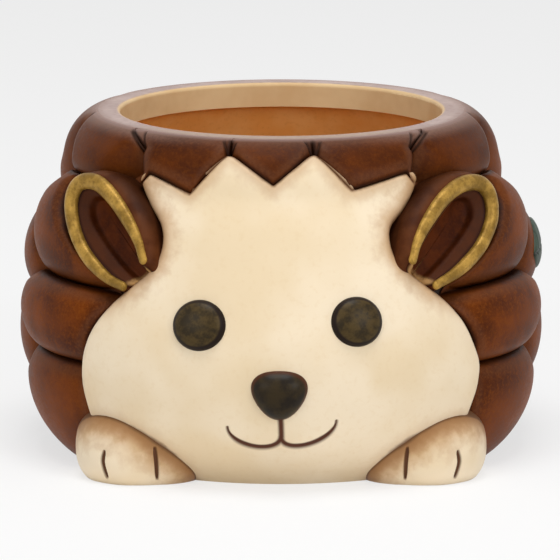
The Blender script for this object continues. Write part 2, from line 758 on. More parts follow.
def face_radius(height):
    """Radius of the face's front: chin, full muzzle and forehead as one flowing curve."""
    return flowing(height, FACE_SECTION)


def in_front(azimuth, height, depth=0.0):
    """Points of the face's front at a depth under its surface."""
    turn = np.radians(azimuth)
    step = 0.5
    lean = (face_radius(height + step) - face_radius(height - step)) / (2 * step)
    size = np.sqrt(1 + lean ** 2)
    across = face_radius(height) - depth / size
    return np.stack([across * np.sin(turn), -across * np.cos(turn), height + depth * lean / size], axis=-1)


def smile_paths():
    """The mouth seen from the front, as x and z: each side is half an ellipse, tilted up
    towards its outer end, and a short line joins them to the nose."""
    turn = np.linspace(0, math.pi, 25)
    left = np.stack([-9.9 + 9.9 * np.cos(turn), 24.0 - 6.1 * np.sin(turn)], axis=1)
    left[:, 1] -= 0.175 * (left[:, 0] + 9.9)
    right = np.stack([10.2 - 10.2 * np.cos(turn), 25.1 - 6.2 * np.sin(turn)], axis=1)
    right[:, 1] += 0.31 * (right[:, 0] - 10.2)
    stem = np.array([[-0.2, 30.0], [0.0, 26.0], [0.1, 22.0]])
    return left, right, stem


def build_face(material):
    """Cream face: shares across between the cheeks and up to the star edge, crowded at the
    mouth and along the edges, with a rounded edge, and the mouth cut as a groove."""
    def across_density(share):
        near_mouth = np.exp(-((share - 0.5) / 0.13) ** 4)
        at_edges = np.exp(-share / 0.03) + np.exp(-(1 - share) / 0.03)
        return 1 + 1.6 * near_mouth + 1.5 * at_edges

    def up_density(share):
        near_mouth = np.exp(-((share - 0.2) / 0.085) ** 4)
        at_top = np.exp(-(1 - share) / 0.03)
        return 1 + 1.6 * near_mouth + 2.0 * at_top

    rows, columns = 275, 350
    across, up = np.meshgrid(crowded(columns, across_density), crowded(rows, up_density))
    top_azimuth = LEFT_TIP + (RIGHT_TIP - LEFT_TIP) * across
    height = star_height(top_azimuth) * up
    azimuth = left_edge_of_face(height) * (1 - across) + right_edge_of_face(height) * across

    flat = in_front(azimuth, height)
    cheek_gaps = []
    for tip, edge_of_face in ((LEFT_TIP, left_edge_of_face), (RIGHT_TIP, right_edge_of_face)):
        heights = np.linspace(0, 1, 160) * star_height(tip)
        cheek_gaps.append(gap_to_path(flat, in_front(edge_of_face(heights), heights))[0])
    cheek_gap = np.minimum(*cheek_gaps)
    star_azimuths = np.linspace(LEFT_TIP, RIGHT_TIP, 240)
    star_gap = gap_to_path(flat, in_front(star_azimuths, star_height(star_azimuths)))[0]

    def rounding(gap, width, depth):
        return depth * (1 - roll(gap / width, 2.0))

    depth = np.hypot(rounding(cheek_gap, FACE_EDGE_ROUND, FACE_EDGE_DEPTH),
                     rounding(star_gap, STAR_EDGE_ROUND, STAR_EDGE_DEPTH))
    line = np.zeros_like(height)
    front_view = flat[..., [0, 2]]
    for path in smile_paths():
        gap, where = gap_to_path(front_view, path)
        is_stem = len(path) == 3
        taper = 1.0 if is_stem else 1 - 0.55 * smooth((where - MOUTH_NARROWS) / (1 - MOUTH_NARROWS))
        line = np.maximum(line, smooth(1.35 - 0.65 * gap / (MOUTH_WIDTH * taper)))
    depth = depth + MOUTH_DEPTH * line

    outer = in_front(azimuth, height, depth)
    rim = rim_walk(rows, columns)
    rings = []
    for share in (0.0, 0.25, 0.5, 0.75):
        ring_azimuth = azimuth.ravel()[rim] * (1 - share) + FACE_MIDDLE[0] * share
        ring_height = height.ravel()[rim] * (1 - share) + FACE_MIDDLE[1] * share
        rings.append(seated_in_wall(in_front(ring_azimuth, ring_height, FACE_ROOT)))
    middle_azimuth, middle_height = np.array(FACE_MIDDLE).reshape(2, 1)
    rings.append(seated_in_wall(in_front(middle_azimuth, middle_height, FACE_ROOT)))
    points, faces = close_patch(outer, rings)
    marks = patch_marks(rings, edge=(cheek_gap, 0.0), star=(star_gap, 0.0), line=(line, 0.0),
                        paw=(paw_gap(flat), 0.0))
    piece = put_mesh("face", points, faces, material, marks)
    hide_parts("face")


# ---------------------------------------------------------------- paws
PAW_CENTRE = np.array([53.0, -62.0, 10.5])
PAW_HALF = np.array([24.0, 26.0, 17.5])
PAW_SQUARE = 2.35
PAW_MEAN_HALF = 21.0
# A paw widens towards the middle by this share of the way at the ground, up to this height.
PAW_TAPER = 0.2
PAW_TAPER_HEIGHT = 24.0
PAW_RAISED = 2.0
# Depth and half-width in mm of the toe lines, how deep the clay sinks beside them, and how far
# in front of the axis the paw has to reach before they show.
TOE_DEPTH = 0.9
TOE_WIDTH = 0.62
TOE_SINK = 0.5
TOE_FRONT = 72.0
# Seen from the front, as x and z: the two toe lines of the right paw.
TOE_LINES = ([(66.0, 13.2), (66.5, 8.6), (64.9, 2.4)], [(46.6, 15.0), (46.0, 9.0), (45.8, 2.4)])


def paw_gap(points):
    """Rough distance in mm from the nearer paw: how far its rounded box would have to grow,
    times its mean half-size."""
    centred = np.abs(np.stack([np.abs(points[..., 0]) - PAW_CENTRE[0], points[..., 1] - PAW_CENTRE[1],
                               points[..., 2] - PAW_CENTRE[2]], axis=-1)) / PAW_HALF
    return (np.sum(centred ** PAW_SQUARE, axis=-1) ** (1 / PAW_SQUARE) - 1) * PAW_MEAN_HALF


def build_paw(name, side, material):
    """Plump paw: a rounded box whose corners follow a power, its sole flat on the ground,
    with two toe lines pressed into the front and the toes swelling between them. Worked out
    for the right paw, and mirrored for the left one."""
    rows, columns = 170, 420
    rise = np.linspace(-math.pi / 2, math.pi / 2, rows)[:, None]
    round_paw = crowded(columns + 1, lambda share: 1 + 3 * np.exp(-((share - 0.5) / 0.17) ** 4))[:-1]
    turn = (2 * math.pi * round_paw + math.pi / 2)[None, :]
    direction = np.stack([np.cos(rise) * np.cos(turn), np.cos(rise) * np.sin(turn),
                          np.sin(rise) * np.ones_like(turn)], axis=-1)
    size = np.sum(np.abs(direction) ** PAW_SQUARE, axis=-1, keepdims=True) ** (-1 / PAW_SQUARE)
    points = direction * size * PAW_HALF + PAW_CENTRE
    inner = np.minimum(points[..., 0] - PAW_CENTRE[0], 0.0)
    points[..., 0] += PAW_TAPER * inner * (1 - smooth(points[..., 2] / PAW_TAPER_HEIGHT))
    points[..., 2] += PAW_RAISED * smooth((points[..., 2] - PAW_CENTRE[2]) / PAW_HALF[2])
    front = smooth((-points[..., 1] - TOE_FRONT) / 8.0)
    line = np.zeros(points.shape[:-1])
    sunk = np.zeros(points.shape[:-1])
    for ends in TOE_LINES:
        path = curve_through(ends, 12, closed=False)
        gap, where = gap_to_path(points[..., [0, 2]], path)
        half_width = TOE_WIDTH * (1 - 0.45 * (2 * where - 1) ** 4)
        line = np.maximum(line, front * smooth((half_width + 0.35 - gap) / 0.4))
        sunk = np.maximum(sunk, front * np.exp(-(gap / 4.0) ** 2))
    normal = (points - PAW_CENTRE) / PAW_HALF ** 2
    normal /= np.linalg.norm(normal, axis=-1, keepdims=True)
    points = points - normal * (TOE_DEPTH * line + TOE_SINK * sunk)[..., None]
    height = np.maximum(points[..., 2], 0.0)
    points = seated_in_wall(np.concatenate([points[..., :2], height[..., None]], axis=-1))
    points[..., 2] = height
    points[..., 0] *= side
    body = points[1:-1].reshape(-1, 3)
    poles = np.array([points[0, 0], points[-1, 0]])
    bottom = np.arange(columns)
    top = (rows - 3) * columns + bottom
    faces = [tube_faces(rows - 2, columns), fan_faces(len(body), bottom)[:, ::-1],
             fan_faces(len(body) + 1, top)]
    if side < 0:
        faces = [block[:, ::-1] for block in faces]
    everything = np.concatenate([body, poles])
    marks = {"line": np.concatenate([line[1:-1].ravel(), [0, 0]]), "crease": face_gap(everything)}
    piece = put_mesh(name, everything, faces, material, marks)
    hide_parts(name)


def face_gap(points):
    """Distance in mm of points in front of the face's surface, measured from the axis."""
    across = np.hypot(points[:, 0], points[:, 1])
    return across - face_radius(points[:, 2])


# ---------------------------------------------------------------- eyes and nose
DOME_RINGS = 46
DOME_SIDES = 160
# How deep in mm a dome's foot stands in the face, and how far its back lies behind its rim.
DOME_SINK = 0.2
DOME_BACK = 1.0


def dome(outline, profile):
    """Dome over a flat outline: each ring is the outline drawn in by a share, at the height
    the profile gives for it. Returns points in the dome's own frame, and the shares."""
    turn = np.linspace(0, 2 * math.pi, DOME_SIDES, endpoint=False)
    shares = np.sin(np.linspace(math.pi / 2, 0.02, DOME_RINGS))
    across, up = outline(turn)
    x = shares[:, None] * across[None, :]
    z = shares[:, None] * up[None, :]
    out = profile(shares)[:, None] * np.ones_like(x)
    return np.stack([x, z, out], axis=-1), shares


def set_on_face(local, azimuth, height):
    """Turns a dome's points (across, up, out) to stand square on the face at a place."""
    foot = in_front(azimuth, height, DOME_SINK)
    lower = in_front(azimuth, height - 3.0)
    upper = in_front(azimuth, height + 3.0)
    up = (upper - lower) / np.linalg.norm(upper - lower)
    turn = math.radians(azimuth)
    across = np.array([math.cos(turn), math.sin(turn), 0.0])
    out = np.cross(across, up)
    return foot + local[..., 0:1] * across + local[..., 1:2] * up + local[..., 2:3] * out


def build_dome(name, outline, profile, place, material):
    """Closed dome on the face, with its share from middle to rim as a mark."""
    local, shares = dome(outline, profile)
    ends = np.array([[0, 0, profile(0.0)], [0, 0, profile(1.0) - DOME_BACK]])
    points = set_on_face(np.concatenate([local.reshape(-1, 3), ends]), *place)
    rim = np.arange(DOME_SIDES)
    tip = len(points) - 2
    faces = [tube_faces(DOME_RINGS, DOME_SIDES), fan_faces(tip, (DOME_RINGS - 1) * DOME_SIDES + rim),
             fan_faces(tip + 1, rim)[:, ::-1]]
    marks = {"share": np.concatenate([np.repeat(shares, DOME_SIDES), [0.0, 1.0]])}
    piece = put_mesh(name, points, faces, material, marks, sharp=70.0)
    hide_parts(name)


# Each eye's azimuth, height, half-width and half its height.
EYE_PLACES = {"eye_left": (-17.4, 63.3, 10.3, 9.6), "eye_right": (16.1, 64.7, 9.9, 9.4)}
# How far a dome stands out of the face, and how far its rim goes down into it.
EYE_PROUD = 4.0
EYE_RIM = 1.6
NOSE_RIM = 2.0
NOSE_AZIMUTH = -0.35
NOSE_HEIGHT = 38.4
NOSE_HALF_WIDTH = 11.5
NOSE_HALF_TALL = 9.6
NOSE_PROUD = 5.0


def build_eyes(material):
    """Bead eyes: a low dome whose rim turns steeply into the face."""
    for name, (azimuth, height, half_width, half_tall) in EYE_PLACES.items():
        def outline(turn):
            return half_width * np.cos(turn), half_tall * np.sin(turn)

        def profile(share):
            return (EYE_PROUD + EYE_RIM) * np.sqrt(np.maximum(1 - share ** 2.3, 0)) ** 0.8 - EYE_RIM

        build_dome(name, outline, profile, (azimuth, height), material)


def build_nose(material):
    """Nose: a rounded triangle, point down. Its width is a cosine that grows with height."""
    def outline(turn):
        climb = np.sin(turn)
        wide = np.sign(np.cos(turn)) * np.abs(np.cos(turn)) ** 0.86
        return NOSE_HALF_WIDTH * wide * (1 + 0.30 * climb) / 1.12, NOSE_HALF_TALL * climb

    def profile(share):
        return (NOSE_PROUD + NOSE_RIM) * np.maximum(1 - share ** 2.4, 0) ** 0.55 - NOSE_RIM

    build_dome("nose", outline, profile, (NOSE_AZIMUTH, NOSE_HEIGHT), material)


# ---------------------------------------------------------------- ears
# The right ear: its azimuth, how far it looks up and is turned, the height of its middle, and how
# far its mouth stands off the wall.
EAR_AZIMUTH = 45.5
EAR_LEAN = 12.0
EAR_TURN = 46.0
EAR_HEIGHT = 93.0
EAR_STANDOFF = 9.5
# The rolled rim's middle line in the plane of each ear's mouth, in mm along the ear and across
# it towards the cheek, from its cheek end round the top to its lower end; then the cup's own
# line back across the open end. The third number is how far the cup reaches beyond the line.
EAR_LINES = {
    "left": [(-22.7, 10.8, 2.7), (-14.7, 12.6, 4.6), (-4.6, 12.6, 6.4), (5.7, 11.3, 6.4), (14.9, 8.4, 5.2),
             (20.3, 3.9, 4.2), (22.3, -1.6, 3.6), (19.5, -7.1, 3.3), (12.4, -10.9, 3.2), (3.3, -12.4, 3.2),
             (-6.0, -11.4, 3.2), (-16.3, -8.0, 3.0), (-24.3, -3.1, 2.6)],
    "right": [(-24.8, 13.4, 2.7), (-17.6, 15.2, 4.4), (-7.3, 15.2, 6.0), (4.6, 13.2, 6.0), (14.5, 8.8, 5.2),
              (21.0, 1.8, 4.4), (21.2, -4.9, 3.8), (15.5, -10.6, 3.3), (6.9, -12.4, 3.2), (-2.4, -11.5, 3.2),
              (-13.9, -7.6, 3.0), (-24.8, -1.6, 2.6)],
}
EAR_MOUTH_END = [(-28.6, 2.4, 2.0), (-28.0, 8.0, 2.5)]
EAR_MIDDLE = (-6.0, 2.0)
# Ends of the line that the bowl's rings draw in to, how far the ear's open end is let down, and
# the place along the ear beyond which it is.
BOWL_ENDS = ((-24.0, 5.0), (8.0, 0.6))
OPEN_END_DROP = 5.0
OPEN_END = -23.5
# How far the cup's foot lies behind its mouth, and the height of its rim over the mouth's plane.
EAR_BACK = 15.5
EAR_RIM_RISE = 0.2
# Half-width and half-height of the gilded roll.
ROLL_WIDE = 2.6
ROLL_PROUD = 2.1
# Share from the rim's middle line to the bowl's middle line, and depth in mm.
EAR_BOWL = [(0.0, 0.0), (0.10, 0.5), (0.20, 1.5), (0.34, 2.5), (0.46, 3.4), (0.50, 4.0), (0.56, 5.6),
            (0.66, 6.4), (0.84, 7.1), (1.0, 7.4)]


def ear_frame():
    """Middle of the right ear's mouth, and its directions along, across and out of it."""
    azimuth = math.radians(EAR_AZIMUTH)
    lean = math.radians(EAR_LEAN)
    out = np.array([math.sin(azimuth) * math.cos(lean), -math.cos(azimuth) * math.cos(lean), math.sin(lean)])
    sideways = np.array([math.cos(azimuth), math.sin(azimuth), 0.0])
    up = np.cross(out, sideways)
    turn = math.radians(EAR_TURN)
    along = sideways * math.sin(turn) + up * math.cos(turn)
    across = np.cross(out, along)
    reach = float(wall_radius(EAR_HEIGHT)[0]) + EAR_STANDOFF
    middle = np.array([math.sin(azimuth) * reach, -math.cos(azimuth) * reach, EAR_HEIGHT])
    return middle, along, across, out


def in_ear(local, side):
    """Points given along, across and out of the ear's mouth, on the right or left of the pot."""
    middle, along, across, out = ear_frame()
    points = middle + local[..., 0:1] * along + local[..., 1:2] * across + local[..., 2:3] * out
    points[..., 0] *= side
    return points


def build_ear_cup(side_name, side, material):
    """Cupped ear as rings round its mouth. Outside, a quarter of an ellipse leads from the
    rim's middle line out by the cup's reach and down to the pot. Inside, each ring lies a
    share of the way to the ear's middle at the bowl's depth, with a step in it."""
    sides = 180
    line = curve_through(EAR_LINES[side_name] + EAR_MOUTH_END, sides, closed=True)
    mouth, reach = line[:, :2], line[:, 2]
    tangent = np.roll(mouth, -1, axis=0) - np.roll(mouth, 1, axis=0)
    tangent /= np.linalg.norm(tangent, axis=1, keepdims=True)
    outward = np.stack([-tangent[:, 1], tangent[:, 0]], axis=1)
    outward *= np.sign(np.sum(outward * (mouth - EAR_MIDDLE), axis=1))[:, None]
    turn = np.linspace(math.pi / 2, 0, 15)
    fall = 3.0 + 0.75 * reach
    drop = OPEN_END_DROP * smooth((OPEN_END - mouth[:, 0]) / 4.0)
    outer_flat = mouth[None] + (np.cos(turn)[:, None] * reach)[..., None] * outward[None]
    outer_height = EAR_RIM_RISE - drop - (1 - np.sin(turn))[:, None] * fall[None, :]
    order = np.arange(len(turn))[::-1]
    outer_flat, outer_height = outer_flat[order], outer_height[order]
    foot_flat = (mouth + 0.92 * reach[:, None] * outward)[None]
    foot_height = np.full((1, sides), -EAR_BACK)
    start, end = (np.array(place) for place in BOWL_ENDS)
    run = end - start
    share_along = np.clip(((mouth - start) @ run) / (run @ run), 0, 1)
    target = start + share_along[:, None] * run
    inward = np.linspace(0, 0.97, 60)[1:]
    inner_flat = mouth[None] + inward[:, None, None] * (target - mouth)[None]
    inner_height = EAR_RIM_RISE - (drop[None] ** 3 + flowing(inward, EAR_BOWL)[:, None] ** 3) ** (1 / 3)
    flat = np.concatenate([foot_flat, outer_flat, inner_flat])
    height = np.concatenate([foot_height, outer_height, inner_height])
    local = np.concatenate([flat, height[..., None]], axis=-1)
    points = in_ear(local, side).reshape(-1, 3)
    points[:sides] = seated_in_wall(points[:sides])
    floor, back = (in_ear(np.array([EAR_MIDDLE + (-depth,)]), side) for depth in (EAR_BOWL[-1][1], EAR_BACK))
    back = seated_in_wall(back)
    everything = np.concatenate([points, floor, back])
    rings = len(flat)
    faces = [tube_faces(rings, sides), fan_faces(len(points), (rings - 1) * sides + np.arange(sides)),
             fan_faces(len(points) + 1, np.arange(sides))[:, ::-1]]
    if side > 0:
        faces = [block[:, ::-1] for block in faces]
    share = np.concatenate([[-2.0], -np.cos(turn[order]), inward])
    beyond = np.concatenate([[20.0 * np.ones(sides)], np.cos(turn[order])[:, None] * reach,
                             np.zeros((len(inward), sides))]).ravel()
    marks = {"share": np.concatenate([np.repeat(share, sides), [1.0, -2.0]]),
             "beyond": np.concatenate([beyond, [0.0, 20.0]]),
             "open": np.concatenate([smooth((OPEN_END + 3.0 - flat[..., 0].ravel()) / 6.0), [0.0, 0.0]])}
    piece = put_mesh("ear_" + side_name, everything, faces, material, marks, sharp=80.0)
    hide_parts("ear_" + side_name)


def build_ear_roll(side_name, side, material):
    """Rolled rim: a flattened tube along the rim's middle line that tapers towards its two
    ends, which are rounded by rings that shrink as a quarter circle does."""
    name = "ear_rim_" + side_name
    path = curve_through(EAR_LINES[side_name], 150, closed=False) * (1, 1, 0)
    length = np.concatenate([[0], np.cumsum(np.linalg.norm(np.diff(path, axis=0), axis=1))])
    tangent = np.gradient(path, length, axis=0)
    tangent /= np.linalg.norm(tangent, axis=1, keepdims=True)
    cap = np.linspace(math.pi / 2, 0, 9)
    size = 0.66 + 0.34 * smooth(np.minimum(length, length[-1] - length) / 22.0)
    size = size + 0.18 * np.exp(-((length / length[-1] - 0.42) / 0.2) ** 2)
    out = np.array([0.0, 0.0, 1.0])
    first = path[0] - tangent[0] * (np.sin(cap) * size[0] * ROLL_WIDE)[:, None]
    last = path[-1] + tangent[-1] * (np.sin(cap[::-1]) * size[-1] * ROLL_WIDE)[:, None]
    centres = np.concatenate([first[:-1], path, last[1:]])
    sizes = np.concatenate([size[0] * np.cos(cap[:-1]), size, size[-1] * np.cos(cap[::-1][1:])])
    sizes = np.maximum(sizes, 0.01)[:, None, None]
    caps = len(cap) - 1
    tangents = np.pad(tangent, ((caps, caps), (0, 0)), mode="edge")
    across = np.cross(tangents, out)[:, None, :]
    sides = 28
    turn = np.linspace(0, 2 * math.pi, sides, endpoint=False)[None, :, None]
    section = np.cos(turn) * across * ROLL_WIDE + np.sin(turn) * out * ROLL_PROUD
    local = centres[:, None, :] + sizes * section
    points = in_ear(local, side).reshape(-1, 3)
    ends = in_ear(np.array([centres[0], centres[-1]]), side)
    everything = np.concatenate([points, ends])
    rings = len(centres)
    faces = [tube_faces(rings, sides), fan_faces(len(points), np.arange(sides))[:, ::-1],
             fan_faces(len(points) + 1, (rings - 1) * sides + np.arange(sides))]
    if side < 0:
        faces = [block[:, ::-1] for block in faces]
    piece = put_mesh(name, everything, faces, material)
    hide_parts(name)


# ---------------------------------------------------------------- leaf
LEAF_AZIMUTH = 93.0
LEAF_LEVEL = 75.5
LEAF_HALF_LENGTH = 18.0
LEAF_HALF_WIDTH = 9.6
LEAF_RELIEF = 1.6
# How far the leaf climbs from its middle to its tip, and the spacing of its side veins.
LEAF_CLIMB = 1.5
VEIN_SPACING = 5.2


def build_leaf(shape, material):
    """Leaf on a quill: shares along it and across it, its width a sine to a power, domed
    between its edges and pressed in along the midrib and the side veins."""
    rows, columns = 60, 120
    along_leaf, across_leaf = np.meshgrid(np.linspace(-1, 1, columns), np.linspace(-1, 1, rows))
    width = LEAF_HALF_WIDTH * np.cos(along_leaf * math.pi / 2) ** 0.8
    x = LEAF_HALF_LENGTH * along_leaf
    y = across_leaf * width
    reach = float(crest_radius(LEAF_LEVEL)) * math.pi / 180
    azimuth = LEAF_AZIMUTH + x / reach
    along = level(LEAF_LEVEL) + y + LEAF_CLIMB * along_leaf
    under = shape.depth(azimuth, along)
    domed = LEAF_RELIEF * (1 - np.abs(across_leaf) ** 3) ** 0.5 * np.cos(along_leaf * math.pi / 2) ** 0.25
    midrib = 0.5 * np.exp(-(y / 0.6) ** 2)
    veins = 0.22 * np.maximum(0, np.cos((x - 0.9 * np.abs(y)) * 2 * math.pi / VEIN_SPACING)) ** 6
    top = on_pot(azimuth, along, under - domed + midrib + veins - 0.1)
    below = on_pot(azimuth, along, under + 0.8)
    points = np.concatenate([top.reshape(-1, 3), below.reshape(-1, 3)])
    count = rows * columns
    rim = rim_walk(rows, columns)
    wall = np.stack([np.roll(rim, -1), rim, rim + count, np.roll(rim, -1) + count], axis=1)
    faces = [grid_faces(rows, columns), grid_faces(rows, columns, count, turned=True), wall]
    marks = {"vein": np.tile((2 * midrib + 3 * veins).ravel(), 2)}
    piece = put_mesh("leaf", points, faces, material, marks)
    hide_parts("leaf")


# ---------------------------------------------------------------- materials
# Specular levels. The patina's is low, so that the white surroundings don't veil its browns.
SATIN_SPECULAR = 0.25
PATINA_SPECULAR = 0.07
PAINT_SPECULAR = 0.15
GOLD_METALLIC = 0.35


def colour(code):
    """Linear colour of a six-digit sRGB hex code."""
    parts = [int(code[place:place + 2], 16) / 255 for place in (0, 2, 4)]
    linear = [part / 12.92 if part <= 0.04045 else ((part + 0.055) / 1.055) ** 2.4 for part in parts]
    return tuple(linear) + (1.0,)


def join(tree, value, socket):
    """Joins an output to a socket, or sets the socket to a value."""
    if isinstance(value, bpy.types.NodeSocket):
        tree.links.new(value, socket)
    else:
        socket.default_value = value


def add_node(tree, kind, inputs=None, **settings):
    """Adds a node, sets its properties, and sets or joins its inputs."""
    node = tree.nodes.new(kind)
    for key, value in settings.items():
        setattr(node, key, value)
    for key, value in (inputs or {}).items():
        join(tree, value, node.inputs[key])
    return node


class Finish:
    """A fired surface, built up as its painter does: a first colour, then coats over it, each
    where the spots of a pattern or a mark of the piece let it show.

    A pattern is noise, given as the size of its spots in mm, its detail and its roughness. A
    mark is a number stored at each point of the mesh. x, y and z are the place in metres."""

    def __init__(self, name, first, patterns, marks=()):
        self.material = bpy.data.materials.new(name)
        self.material.use_nodes = True
        self.tree = self.material.node_tree
        self.body = colour(first)
        self.place = add_node(self.tree, "ShaderNodeTexCoord").outputs["Object"]
        parts = add_node(self.tree, "ShaderNodeSeparateXYZ", {"Vector": self.place}).outputs
        self.values = {"x": parts[0], "y": parts[1], "z": parts[2]}
        for pattern, (size_mm, detail, roughness) in patterns.items():
            noise = add_node(self.tree, "ShaderNodeTexNoise", {
                "Vector": self.place, "Scale": 1 / (size_mm * MM), "Detail": detail,
                "Roughness": roughness})
            self.values[pattern] = noise.outputs["Fac"]
        for mark in marks:
            stored = add_node(self.tree, "ShaderNodeAttribute", attribute_name=mark)
            self.values[mark] = stored.outputs["Fac"]

    def share(self, *parts):
        """How much of a coat shows: the product of its parts. A part is a number, a value's
        name, or (name, low, high): a smooth step from 0 at low to 1 at high. Two more numbers
        give what the step starts and ends at."""
        total = 1.0
        for part in parts:
            if isinstance(part, tuple):
                name, low, high, first, last = (part + (0.0, 1.0))[:5]
                part = add_node(self.tree, "ShaderNodeMapRange", {
                    "Value": self.values[name], "From Min": low, "From Max": high,
                    "To Min": first, "To Max": last}, interpolation_type="SMOOTHSTEP").outputs["Result"]
            elif isinstance(part, str):
                part = self.values[part]
            total = add_node(self.tree, "ShaderNodeMath", {0: total, 1: part},
                             operation="MULTIPLY").outputs[0]
        return total

    def mottled(self, first, second, *parts):
        """Colour that turns from one into another by a share."""
        return add_node(self.tree, "ShaderNodeMix", {0: self.share(*parts), 6: first, 7: second},
                        data_type="RGBA").outputs[2]

    def coat(self, paint, *parts):
        """Lays a paint, a hex code or a mottled colour, over the body by a share."""
        paint = colour(paint) if isinstance(paint, str) else paint
        self.body = self.mottled(self.body, paint, *parts)

    def fired(self, pattern, smoothest, roughest, specular, relief_mm, strength):
        """The finished material: roughness and a fine relief follow one of its patterns."""
        relief = add_node(self.tree, "ShaderNodeBump", {
            "Height": self.values[pattern], "Distance": relief_mm * MM, "Strength": strength})
        shader = self.tree.nodes["Principled BSDF"]
        for name, value in (("Base Color", self.body),
                            ("Roughness", self.share((pattern, 0.3, 0.7, smoothest, roughest))),
                            ("Specular IOR Level", specular),
                            ("Normal", relief.outputs["Normal"])):
            join(self.tree, value, shader.inputs[name])
        return self.material


def quill_glaze():
    """Satin brown patina over earthenware. The body is a warm, mottled orange-brown, the
    rolled edges are rubbed a little greyer, and the creases keep dark paint."""
    glaze = Finish("rubbed brown patina on earthenware", "4a1e03",
                   {"cloud": (20.0, 4.0, 0.55), "grain": (1.3, 4.0, 0.65), "speck": (0.5, 2.0, 0.6)},
                   ("edge", "to_lip", "line"))
    glaze.coat("703404", ("cloud", 0.36, 0.66))
    glaze.coat("8c4a10", ("grain", 0.42, 0.70), 0.35)
    glaze.coat("2a1103", ("speck", 0.52, 0.74), 0.45)
    # Warmer in the middle of a quill, darker on the shoulder, greyer along the rolled edge.
    glaze.coat("84400a", ("edge", 7.0, 17.0), 0.40)
    glaze.coat("331403", ("to_lip", 30.0, 16.0), 0.45)
    glaze.coat("63402c", ("edge", 7.0, 3.0), ("edge", 0.8, 2.6), ("grain", 0.20, 0.60, 0.3, 0.9), 0.40)
    # Rubbed pale towards the lip, more at the sides than in front.
    glaze.values["sideways"] = add_node(glaze.tree, "ShaderNodeMath", {0: glaze.values["x"]},
                                        operation="ABSOLUTE").outputs[0]
    glaze.coat("8d7064", ("to_lip", 9.0, 0.5), ("grain", 0.25, 0.65, 0.6, 1.0),
               ("sideways", 0.030, 0.055, 0.25, 0.80))
    glaze.coat("9c8077", ("to_lip", 3.4, 0.2), 0.85)
    # Dark paint left in the creases and the pinches.
    glaze.coat("160702", ("edge", 2.2, 0.2), ("to_lip", 0.2, 3.0), 0.85)
    glaze.coat("180903", "line", 0.8)
    return glaze.fired("grain", 0.38, 0.52, PATINA_SPECULAR, 0.10, 0.5)


def cream_glaze():
    """Satin cream glaze with fine orange-peel. Brown is airbrushed into the creases round it,
    widest beside the quills, and the mouth is painted a dark red-brown."""
    glaze = Finish("cream satin glaze, airbrushed brown", "ecd6b2",
                   {"cloud": (38.0, 2.0, 0.55), "grain": (2.2, 3.0, 0.55), "flutter": (5.0, 3.0, 0.55)},
                   ("edge", "star", "paw", "line"))
    glaze.coat("f5e3c6", ("cloud", 0.36, 0.66))
    glaze.coat("e2c596", ("grain", 0.50, 0.75), 0.20)
    # Distances waver a little, as a sprayed edge does, and the spray thins out below the ears.
    for mark in ("edge", "star", "paw"):
        glaze.values[mark] = glaze.share(mark, ("flutter", 0.3, 0.7, 0.75, 1.2))
    glaze.coat("b88650", ("edge", 10.0, 0.0), 0.75, ("z", 0.058, 0.072, 0.12, 1.0))
    glaze.coat("b88650", ("star", 7.0, 0.0), 0.50)
    glaze.coat("b88650", ("paw", 6.0, 0.0), 0.22)
    for mark, wide, strong in (("edge", 1.8, 0.85), ("star", 1.3, 0.85), ("paw", 1.5, 0.80)):
        glaze.coat("633513", (mark, wide, 0.0), strong)
    glaze.coat("502610", "line")
    return glaze.fired("grain", 0.44, 0.52, SATIN_SPECULAR, 0.05, 0.4)


def paw_glaze():
    """The same cream glaze on the paws, with the airbrushed brown where they meet the face and
    the toe lines painted a dark red-brown."""
    glaze = Finish("cream satin glaze on the paws", "ecd6b2",
                   {"cloud": (30.0, 2.0, 0.55), "grain": (2.2, 3.0, 0.55), "flutter": (5.0, 3.0, 0.55)},
                   ("crease", "line"))
    glaze.coat("f5e3c6", ("cloud", 0.36, 0.66))
    glaze.values["crease"] = glaze.share("crease", ("flutter", 0.3, 0.7, 0.8, 1.15))
    glaze.coat("b98a55", ("crease", 15.0, 2.0), 0.85)
    glaze.coat("855526", ("crease", 8.0, 0.5), 0.70)
    glaze.coat("4f2c12", ("crease", 1.4, 0.0), 0.75)
    glaze.coat("5a3418", "line")
    return glaze.fired("grain", 0.44, 0.52, SATIN_SPECULAR, 0.05, 0.4)


def eye_glaze():
    """Dark olive satin paint, mottled, with a red-brown ring."""
    glaze = Finish("dark olive satin paint", "2b210f", {"cloud": (4.0, 4.0, 0.65)}, ("share",))
    glaze.coat("4a3a1c", ("cloud", 0.35, 0.65))
    glaze.coat("190b04", ("share", 0.80, 0.88))
    return glaze.fired("cloud", 0.34, 0.46, PAINT_SPECULAR, 0.08, 0.4)


def nose_glaze():
    """Dark olive-black satin paint, mottled, with a red-brown outline."""
    glaze = Finish("dark olive satin paint on the nose", "1c140a", {"cloud": (5.0, 4.0, 0.65)}, ("share",))
    glaze.coat("302511", ("cloud", 0.35, 0.65))
    glaze.coat("4a2614", ("share", 0.84, 0.96))
    return glaze.fired("cloud", 0.32, 0.44, PAINT_SPECULAR, 0.08, 0.4)


